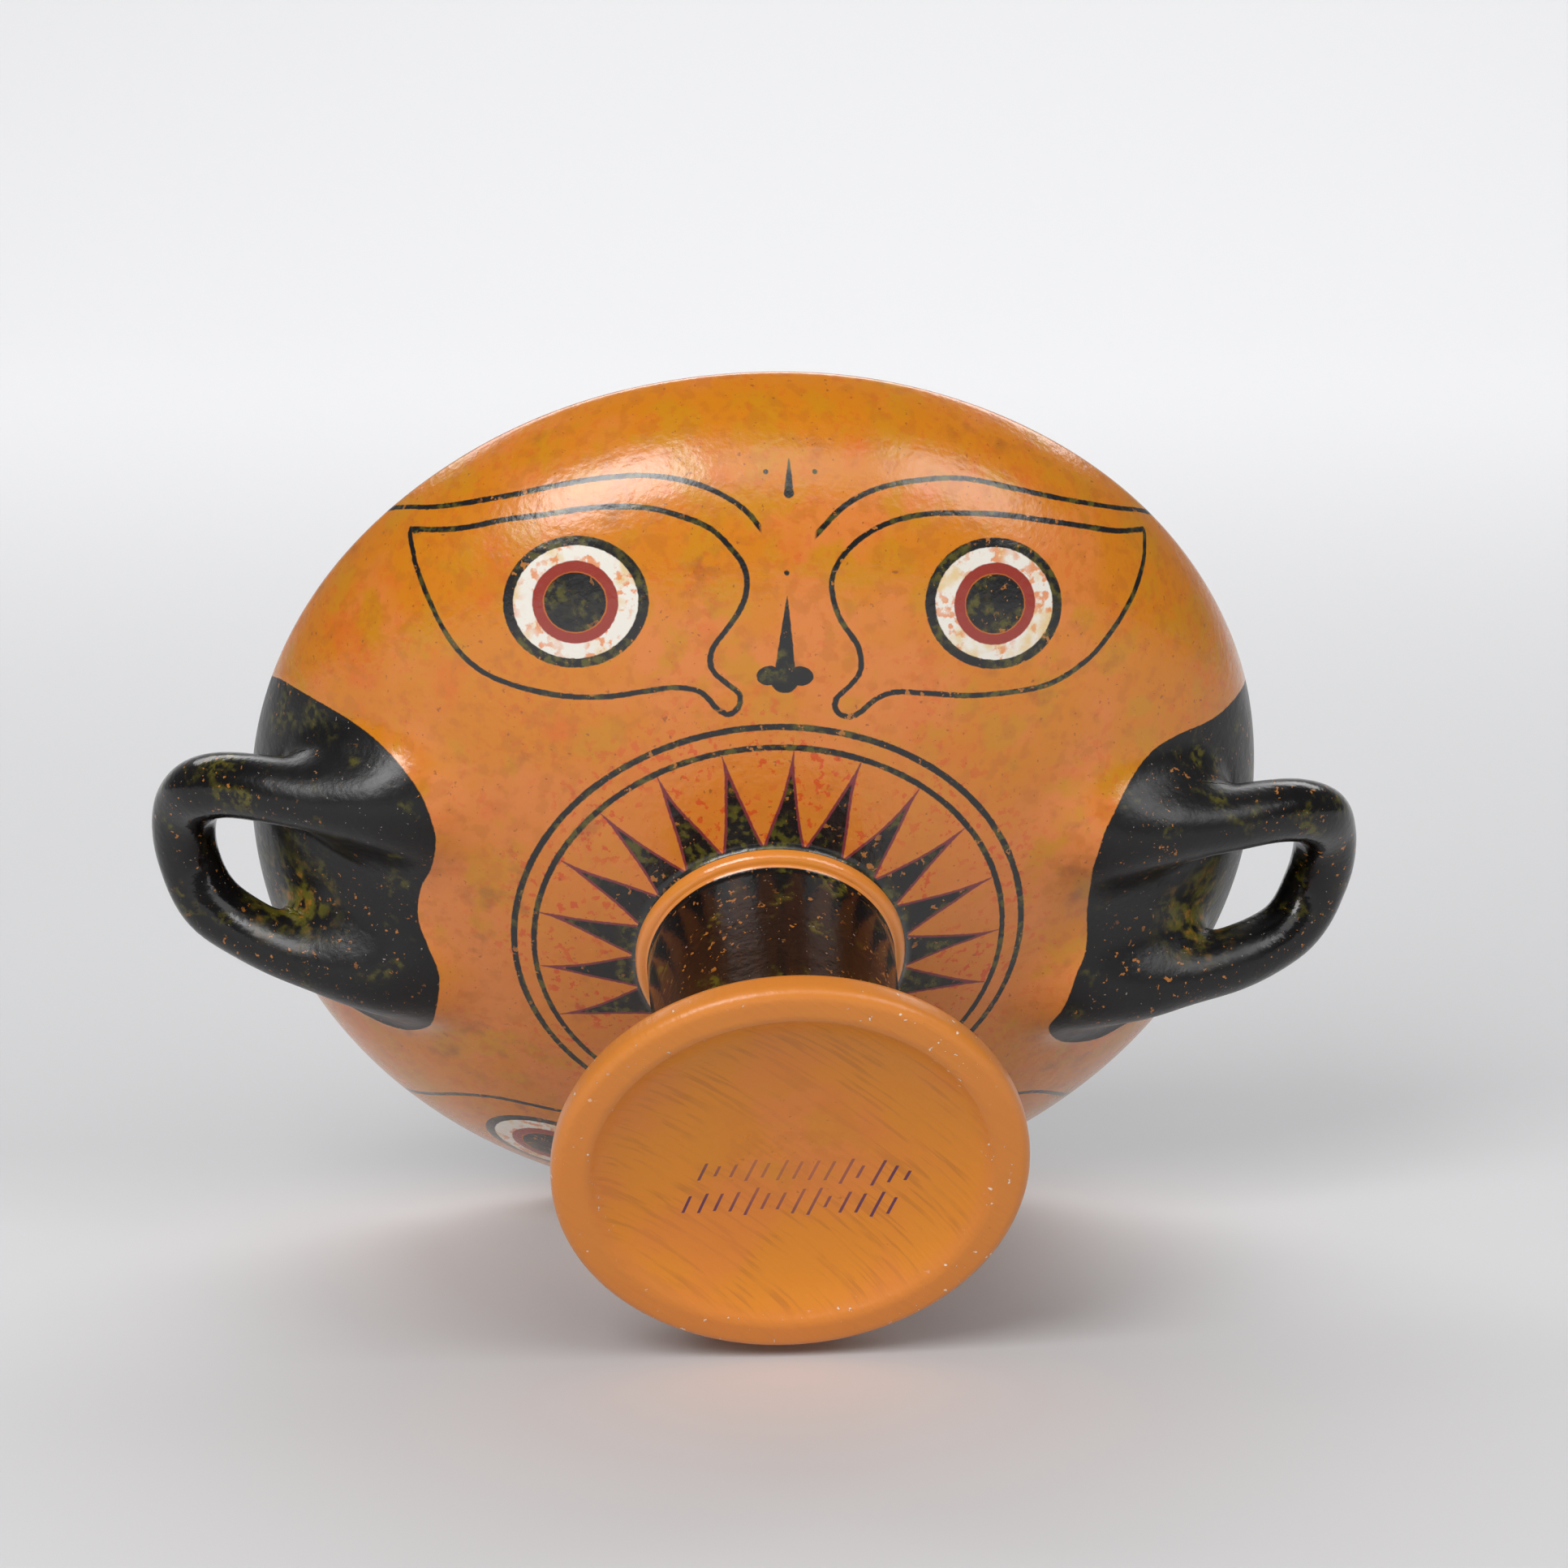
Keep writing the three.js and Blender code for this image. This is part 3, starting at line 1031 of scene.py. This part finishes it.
# Wear: the black is thin and olive in clouds, and orange clay shows through in crumbs
small_work = minus(1.0, broad_black)
olive_from = minus(0.55, times(small_work, 0.11))
olive_clouds = both(
    rising(grain(8.0, 50.0, detail=5.0), olive_from, plus(olive_from, 0.13)),
    clouded(1.6, 51.0, 0.42, 0.60, detail=4.0),
)
stem_streaks = grain(1.0, 53.0, detail=3.0, at=point_at(times(round_cup, 9.0), times(height, 0.05), 0.0))
brown_streaks = both(on_stem, rising(stem_streaks, 0.45, 0.70), falling(height, 28.0, 46.0))
crumb_here = plus(grain(1.3, 54.0, detail=5.0), times(either(small_work, on_stem), 0.03))
crumbs = both(rising(crumb_here, 0.64, 0.67), clouded(15.0, 55.0, 0.43, 0.55))
fine_crumbs = both(clouded(0.6, 56.0, 0.69, 0.73), clouded(12.0, 57.0, 0.44, 0.58))
dust = both(clouded(0.8, 58.0, 0.71, 0.74), broad_black)
slip = layered(
    slip_black,
    (slip_olive, times(olive_clouds, 0.65)),
    (slip_brown, times(brown_streaks, 0.6)),
    (slip_worn, times(either(crumbs, fine_crumbs), 0.85)),
    (slip_dust, times(dust, 0.7)),
)

# Where each loop meets the wall, the slip is rubbed through to yellow and orange
rubbed_spots = (on_bowl(-97, 74, 1.0), on_bowl(97, 68, 1.0))
rub_core = 3.0
rub_reach = 15.0
for rubbed in rubbed_spots:
    away = nodes.new("ShaderNodeVectorMath")
    away.operation = "DISTANCE"
    link(place_mm, away.inputs[0])
    away.inputs[1].default_value = tuple(rubbed)
    near_root = falling(away.outputs["Value"], rub_core, rub_reach)
    rub = both(near_root, clouded(3.2, 71.0, 0.44, 0.60, detail=5.0), outer_bowl)
    through = both(rub, clouded(2.4, 72.0, 0.50, 0.66, detail=4.0), 0.7)
    slip = layered(slip, (slip_olive, rub), (slip_worn, through))

paint_colour = layered(paint_colour, (ray_violet, times(ray_body, 0.95)), (slip, black))
link(paint_colour, shader.inputs["Base Color"])

# The skin: burnished clay has a soft sheen, the slip is smoother, the dish is drier
smoothest = 0.16
sheen_spread = 0.16
dish_drier = 0.14
patch_drier = 0.10
loop_smoother = 0.07
specular_level = 0.45
coat_amount = 0.6
coat_roughness = 0.24
on_loop = both(rising(from_axis, 103.5, 109.0), rising(height, 70.0, 75.0))
patch_on_wall = both(patch, falling(from_axis, 100.0, 106.0))
gloss = plus(smoothest, times(grain(3.0, 60.0, detail=3.0), sheen_spread))
gloss = plus(gloss, times(under_foot, dish_drier))
gloss = plus(gloss, times(patch_on_wall, patch_drier))
gloss = minus(gloss, times(either(on_loop, on_stem, on_collar), loop_smoother))
unpolished = either(broad_black, times(under_foot, 0.7))
link(gloss, shader.inputs["Roughness"])
link(times(minus(1.0, unpolished), coat_amount), shader.inputs["Coat Weight"])
shader.inputs["Specular IOR Level"].default_value = specular_level
shader.inputs["Coat Roughness"].default_value = coat_roughness

# The fine relief: turning lines, pebbled and dented skin, brush marks and sunk chips
turning_height = 0.03
pebble_height = 0.08
dent_height = 0.11
mark_height = 0.12
chip_depth = 0.2
turning = grain(1.0, 61.0, at=point_at(times(round_cup, 3.0), over(climb, 1.8), 0.0))
relief = plus(times(turning, turning_height), times(grain(1.3, 62.0), pebble_height))
relief = plus(relief, times(grain(4.5, 63.0), dent_height))
relief = plus(relief, both(brush_marks, under_foot, mark_height))
relief = minus(relief, times(chips, chip_depth))
bump = nodes.new("ShaderNodeBump")
bump.inputs["Strength"].default_value = 1.0
bump.inputs["Distance"].default_value = mm
link(relief, bump.inputs["Height"])
link(bump.outputs["Normal"], shader.inputs["Normal"])
link(bump.outputs["Normal"], shader.inputs["Coat Normal"])

mesh.materials.clear()
mesh.materials.append(paint)
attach(body, "root")
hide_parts("kylix_cup")

# The table
# A pale sheet of card lies under the cup and curves up far behind it. The cup rests on it with the
# edge of its foot and the edge of its rim. Seen from behind, the card lets the view through.
table_up = Vector((-0.0243542, -0.8916675, 0.452)).normalized()
half_width = 4.0
near_end = -3.0
bend_start = 1.9
bend_radius = 1.2
bend_steps = 24
backdrop_height = 3.5
card_gap = 0.0001
card_weld = 1e-5
card_white = (0.66, 0.66, 0.67, 1)
card_roughness = 0.7

view_way = from_camera @ Vector((0, 0, 1))
table_away = (view_way - view_way.dot(table_up) * table_up).normalized()
table_right = table_away.cross(table_up)
lowest = (positions(mesh) @ np.array(table_up)).min() * mm
card_lies = Matrix.Translation(table_up * (lowest - card_gap)) @ Matrix(
    (table_right, table_away, table_up)
).transposed().to_4x4()
card = bmesh.new()
near_edge = [card.verts.new((side * half_width, near_end, 0)) for side in (-1, 1)]
edge = [card.edges.new(near_edge)]
for span in (-near_end, bend_start):
    grown = bmesh.ops.extrude_edge_only(card, edges=edge)["geom"]
    edge = [
        part for part in grown
        if isinstance(part, bmesh.types.BMEdge) and not part.link_faces[1:]
        and all(corner in grown for corner in part.verts)
    ]
    bmesh.ops.translate(card, vec=(0, span, 0), verts=edge[0].verts[:])
bent_up = bmesh.ops.spin(
    card, geom=edge + edge[0].verts[:], cent=(0, bend_start, bend_radius), axis=(1, 0, 0),
    dvec=(0, 0, 0), angle=math.radians(90), steps=bend_steps, use_merge=False,
)
edge = [part for part in bent_up["geom_last"] if isinstance(part, bmesh.types.BMEdge)]
grown = bmesh.ops.extrude_edge_only(card, edges=edge)["geom"]
top = [part for part in grown if isinstance(part, bmesh.types.BMVert)]
bmesh.ops.translate(card, vec=(0, 0, backdrop_height), verts=top)
bmesh.ops.remove_doubles(card, verts=card.verts[:], dist=card_weld)
bmesh.ops.recalc_face_normals(card, faces=card.faces[:])
card.normal_update()
card.faces.ensure_lookup_table()
if card.faces[0].normal.z < 0:
    bmesh.ops.reverse_faces(card, faces=card.faces[:])
bmesh.ops.transform(card, matrix=card_lies, verts=card.verts[:])
floor = new_piece("floor", card)
for face in floor.data.polygons:
    face.use_smooth = True
card_paint = bpy.data.materials.new("pale_card")
card_paint.use_nodes = True
card_nodes = card_paint.node_tree.nodes
card_link = card_paint.node_tree.links.new
card_shader = card_nodes["Principled BSDF"]
card_shader.inputs["Base Color"].default_value = card_white
card_shader.inputs["Roughness"].default_value = card_roughness
card_back = card_nodes.new("ShaderNodeNewGeometry")
see_through = card_nodes.new("ShaderNodeBsdfTransparent")
one_sided = card_nodes.new("ShaderNodeMixShader")
card_link(card_back.outputs["Backfacing"], one_sided.inputs[0])
card_link(card_shader.outputs[0], one_sided.inputs[1])
card_link(see_through.outputs[0], one_sided.inputs[2])
card_link(one_sided.outputs[0], card_nodes["Material Output"].inputs[0])
floor.data.materials.append(card_paint)

# The light
# Two windows and a dim stretch of wall between them, behind the camera, and a lamp over the far card.
# Each is placed from the cup by its angle right of the viewer, its angle up and its distance. Then
# come its width, its height, its brightness and how far beyond the cup it is aimed.
lights = {
    "window_left": (-28, 34, 1.6, 0.85, 0.70, 9.2, 0.0),
    "window_right": (50, 32, 1.6, 0.75, 0.70, 4.2, 0.0),
    "wall_between": (12, 36, 1.6, 0.70, 0.70, 1.8, 0.0),
    "far_lamp": (180, 42, 2.3, 3.60, 1.00, 4.3, 1.7),
}
cup_middle = Vector((0, 0, 75 * mm))
room_colour = (0.97, 0.98, 1.0, 1)
room_brightness = 0.14
for name, (right, up, away, width, tall, brightness, aim_beyond) in lights.items():
    lamp = bpy.data.lights.new(name, "AREA")
    lamp.shape = "RECTANGLE"
    lamp.size = width
    lamp.size_y = tall
    lamp.energy = brightness * math.pi * width * tall
    light = bpy.data.objects.new(name, lamp)
    bpy.context.scene.collection.objects.link(light)
    level = away * math.cos(math.radians(up))
    light_place = (table_right * level * math.sin(math.radians(right))
                   - table_away * level * math.cos(math.radians(right))
                   + table_up * away * math.sin(math.radians(up)))
    way = light_place - table_away * aim_beyond
    aimed = way.to_track_quat("Z", "Y").to_matrix().to_4x4()
    light.matrix_world = Matrix.Translation(cup_middle + light_place) @ aimed
room = bpy.data.worlds.new("room")
room.use_nodes = True
background = room.node_tree.nodes["Background"]
background.inputs["Color"].default_value = room_colour
background.inputs["Strength"].default_value = room_brightness
bpy.context.scene.world = room
